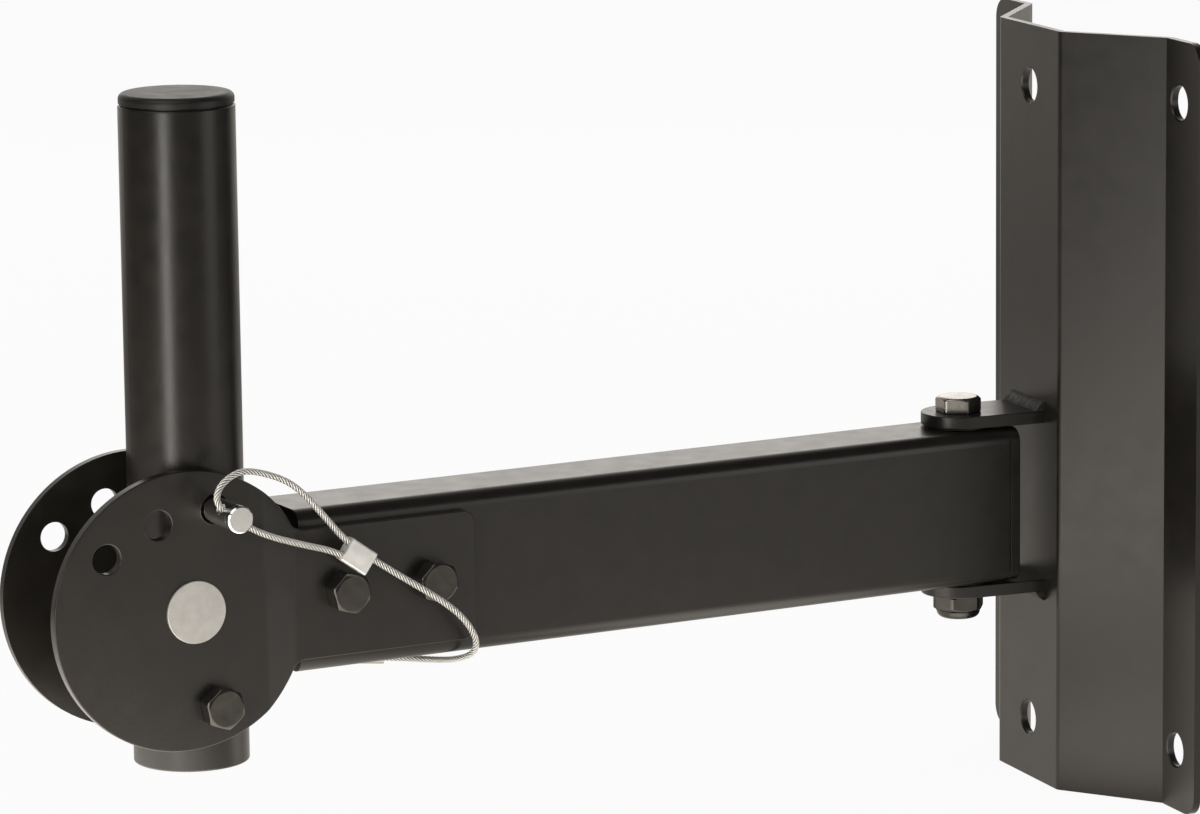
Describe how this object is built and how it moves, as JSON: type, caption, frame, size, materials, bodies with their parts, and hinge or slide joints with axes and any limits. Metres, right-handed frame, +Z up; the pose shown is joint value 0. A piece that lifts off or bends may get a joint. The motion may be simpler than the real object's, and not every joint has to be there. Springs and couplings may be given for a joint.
{
  "type": "speaker wall bracket",
  "caption": "Wall bracket for a loudspeaker: folded wall plate, swivelling arm and a tilting upright pole held by a pivot bolt and a lock pin.",
  "frame": {"origin": "centre of the wall plate's back, on the wall", "axes": "+Y into the wall, +Z up, +X to the right seen from the room, which is the lock pin's side"},
  "size_m": [0.1456, 0.3748, 0.246],
  "materials": {
    "black_powder_coat": "fine satin powder coat",
    "zinc": "zinc plated",
    "nylon": "plain",
    "black_plastic": "semi gloss",
    "black_oxide": "black, semi gloss",
    "satin_silver": "satin",
    "steel_rope": "bare stranded wire",
    "bare_aluminium": "crimped, bare",
    "pin_chrome": "polished"
  },
  "bodies": {
    "wall_bracket": {"wall_plate": "black_powder_coat", "hinge_ear_upper": "black_powder_coat", "hinge_ear_lower": "black_powder_coat", "weld_upper": "black_powder_coat", "weld_lower": "black_powder_coat", "hinge_bolt": "zinc", "hinge_nut": "zinc", "hinge_washer_upper": "nylon", "hinge_washer_lower": "nylon"},
    "arm": {"arm_tube": "black_powder_coat", "arm_end_plate": "black_powder_coat", "arm_tip_plug": "black_plastic", "hinge_sleeve": "zinc", "tail_sleeves": "zinc", "head_plate_near": "black_powder_coat", "head_plate_far": "black_powder_coat", "tail_bolts": "black_oxide", "tail_washers": "black_oxide", "tail_nuts": "black_oxide", "pivot_bolt": "black_oxide", "pivot_washer": "black_oxide", "pivot_nut": "black_oxide", "badge": "satin_silver", "lanyard_rope": "steel_rope", "lanyard_ferrule": "bare_aluminium", "lanyard_lug": "zinc", "lug_rivet": "zinc"},
    "pole": {"pole_tube": "black_powder_coat", "pole_cap": "black_plastic", "pivot_sleeve": "nylon"},
    "lock_pin": {"lock_pin": "pin_chrome"}
  },
  "joints": [
    {"name": "arm_swivel", "type": "hinge", "parent": "wall_bracket", "child": "arm", "pos_m": [0, -0.0505, -0.03], "axis": [0, 0, 1], "range_deg": [-86.5, 73.5]},
    {"name": "pole_tilt", "type": "hinge", "parent": "arm", "child": "pole", "pos_m": [0.03073, -0.32026, -0.06], "axis": [0.9936, 0.1132, 0], "range_deg": [0, 36]},
    {"name": "pin_slide", "type": "slide", "parent": "arm", "child": "lock_pin", "axis": [0.9936, 0.1132, 0], "range_m": [-0.008, 0.01], "deforming": ["lanyard_rope"]}
  ]
}
